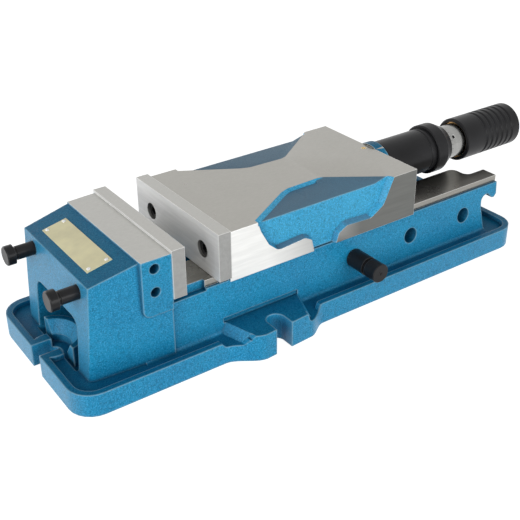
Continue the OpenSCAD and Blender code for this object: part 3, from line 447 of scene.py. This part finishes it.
def finish_node(node, body, slot, choose=None, materials=None, trim=None):
    """Replaces a CAD node by its smooth copy, with a material for each of its faces."""
    piece = smooth_copy(node + "_finish", node, trim)
    for name in materials or [slot]:
        piece.data.materials.append(MATERIALS[name])
    if choose:
        for polygon in piece.data.polygons:
            chosen = choose(polygon.center / MM, polygon.normal)
            polygon.material_index = materials.index(chosen)
    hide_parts(node)
    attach(piece, body)
    return piece


def near(value, target):
    """True where a place is on a face, in mm."""
    return abs(value - target) < ON_FACE


def along(share):
    """True where a normal's share along an axis says that the face is square to it."""
    return share > SQUARE


def base_choice(place, normal):
    """Ground faces of the base: the land, the ways with their sides, and the plate's seat."""
    if along(normal.z) and near(place.z, GROUND_TOP_Z):
        return "ground_land"
    if along(normal.z) and near(place.z, WAYS_Z):
        return "way"
    if near(abs(place.y), RAIL_SIDE_Y) and along(abs(normal.y)) and place.z > RAIL_SIDE_LOW_Z:
        return "way"
    if near(place.x, PLATE_SEAT_X) and along(abs(normal.x)) and place.z > WAYS_Z:
        return "ground_side"
    return "paint"


def saddle_choice(place, normal):
    """Ground faces of the movable jaw: top, sides, both ends and the underside."""
    if along(normal.z) and near(place.z, GROUND_TOP_Z):
        return "ground_top"
    if near(abs(place.y), SADDLE_SIDE_Y) and along(abs(normal.y)):
        return "ground_side"
    at_an_end = near(place.x, SADDLE_FRONT_X) or near(place.x, SADDLE_REAR_X)
    if at_an_end and along(abs(normal.x)):
        return "ground_side"
    if along(-normal.z) and place.z < SADDLE_UNDERSIDE_Z:
        return "ground_side"
    # Painted light: the boss behind the jaw keeps the base's enamel, the rest of the jaw takes
    # the lighter copy
    return "paint" if place.x > REAR_BOSS_X else "paint_lit_jaw"


def plate_choice(place, normal):
    """The broad faces of a jaw plate and its top take lighter copies of its steel, as painted
    light; its ends keep the darker tone.
    """
    if along(abs(normal.x)):
        return "plate_face_lit"
    return "ground_land" if along(normal.z) else "plate_steel"


finish_node("base_casting", "base", "paint", choose=base_choice,
            materials=["paint", "ground_land", "way", "ground_side"])
finish_node("movable_jaw", "movable_jaw", "paint", choose=saddle_choice,
            materials=["paint_lit_jaw", "paint", "ground_top", "ground_side"], trim=BOSS_TRIM)
for name, body in (("fixed_jaw_plate", "base"), ("movable_jaw_plate", "movable_jaw")):
    finish_node(name, body, "plate_steel", choose=plate_choice,
                materials=["plate_steel", "plate_face_lit", "ground_land"])


def make_springs():
    """The dished springs ride on the piston."""
    springs = finish_node("disc_springs", "output_piston", "spring_steel")
    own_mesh(springs)


def make_graduations():
    """Short engraved-looking ticks round the barrel beside its clutch screw, in mm."""
    axis_z, radius, length, start, count = 105.5, 20.0, 3.2, 407.0, 24
    foot, crest, half_angle = radius - 0.05, radius + 0.03, 0.008
    outline = ((foot, -half_angle), (crest, -half_angle), (crest, half_angle), (foot, half_angle))
    corners, faces = [], []
    for i in range(count):
        middle = 2 * math.pi * i / count
        a = len(corners)
        b = a + len(outline)
        for x in (start, start + length):
            for r, turn in outline:
                y = r * math.cos(middle + turn)
                z = axis_z + r * math.sin(middle + turn)
                corners.append((x * MM, y * MM, z * MM))
        faces += [(a, a + 1, a + 2, a + 3), (b + 3, b + 2, b + 1, b)]
        faces += [(a + k, b + k, b + (k + 1) % 4, a + (k + 1) % 4) for k in range(4)]
    mesh = bpy.data.meshes.new("barrel_ticks")
    mesh.from_pydata(corners, [], faces)
    mesh.materials.append(MATERIALS["black_steel"])
    ticks = add_object("barrel_ticks", mesh)
    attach(ticks, "spindle")


make_springs()
make_graduations()

for subpart in frame["record"]["subparts"]:
    node = frame["nodes"][subpart["node"]]
    node.data.materials.clear()
    node.data.materials.append(MATERIALS[subpart["material_slot"]])


# Floor, background and light. The floor and the world look pale to the camera and in
# reflections, and light the object less than that.

FLOOR_REACH = 6
FLOOR_DROP = 0.0002
FLOOR_TONE = 0.60
FLOOR_GLOW = 0.88
WORLD_AMBIENT = 0.30
MIDDLE = (0.16, 0.0, 0.07)


def make_stage():
    mesh = bpy.data.meshes.new("floor")
    signs = ((-1, -1), (1, -1), (1, 1), (-1, 1))
    corners = [(x * FLOOR_REACH, y * FLOOR_REACH, 0) for x, y in signs]
    mesh.from_pydata(corners, [], [(0, 1, 2, 3)])
    floor = add_object("floor", mesh)
    floor.location.z = cad_bounds[0][2] - FLOOR_DROP
    t = Tree("pale_floor")
    path = t.add("ShaderNodeLightPath")
    seen = t.add("ShaderNodeMath", operation="MAXIMUM")
    t.put(seen.inputs[0], path.outputs["Is Camera Ray"])
    t.put(seen.inputs[1], path.outputs["Is Glossy Ray"])
    glow = t.add("ShaderNodeMath", operation="MULTIPLY")
    t.put(glow.inputs[0], seen.outputs[0])
    glow.inputs[1].default_value = FLOOR_GLOW
    t.put(t.shader.inputs["Emission Strength"], glow.outputs[0])
    t.shader.inputs["Emission Color"].default_value = with_alpha(WHITE)
    t.shade(color=even(FLOOR_TONE), rough=0.9, specular=0.0)
    mesh.materials.append(t.material)


def make_world():
    world = bpy.data.worlds.new("studio")
    bpy.context.scene.world = world
    world.use_nodes = True
    nodes, links = world.node_tree.nodes, world.node_tree.links
    back = nodes["Background"]
    path = nodes.new("ShaderNodeLightPath")
    total = path.outputs["Is Camera Ray"]
    for ray in ("Is Glossy Ray", "Is Transmission Ray"):
        add = nodes.new("ShaderNodeMath")
        add.operation = "MAXIMUM"
        links.new(total, add.inputs[0])
        links.new(path.outputs[ray], add.inputs[1])
        total = add.outputs[0]
    strength = nodes.new("ShaderNodeMapRange")
    strength.inputs["To Min"].default_value = WORLD_AMBIENT
    strength.inputs["To Max"].default_value = 1.0
    links.new(total, strength.inputs["Value"])
    back.inputs["Color"].default_value = with_alpha(WHITE)
    links.new(strength.outputs["Result"], back.inputs["Strength"])


def make_light(name, place, size, power):
    """A soft box, turned to the middle of the object. Metres and watts."""
    data = bpy.data.lights.new(name, "AREA")
    data.shape = "RECTANGLE"
    data.size, data.size_y = size
    data.energy = power
    light = add_object(name, data)
    light.location = place
    aim = Vector(MIDDLE) - Vector(place)
    light.rotation_euler = aim.to_track_quat("-Z", "Y").to_euler()


make_stage()
make_world()
make_light("key", place=(-1.7, -0.6, 0.6), size=(1.2, 1.0), power=15)
make_light("fill", place=(0.4, -1.9, 0.5), size=(1.6, 0.8), power=15)
make_light("rear", place=(-0.4, 2.0, 0.2), size=(1.6, 0.5), power=9)
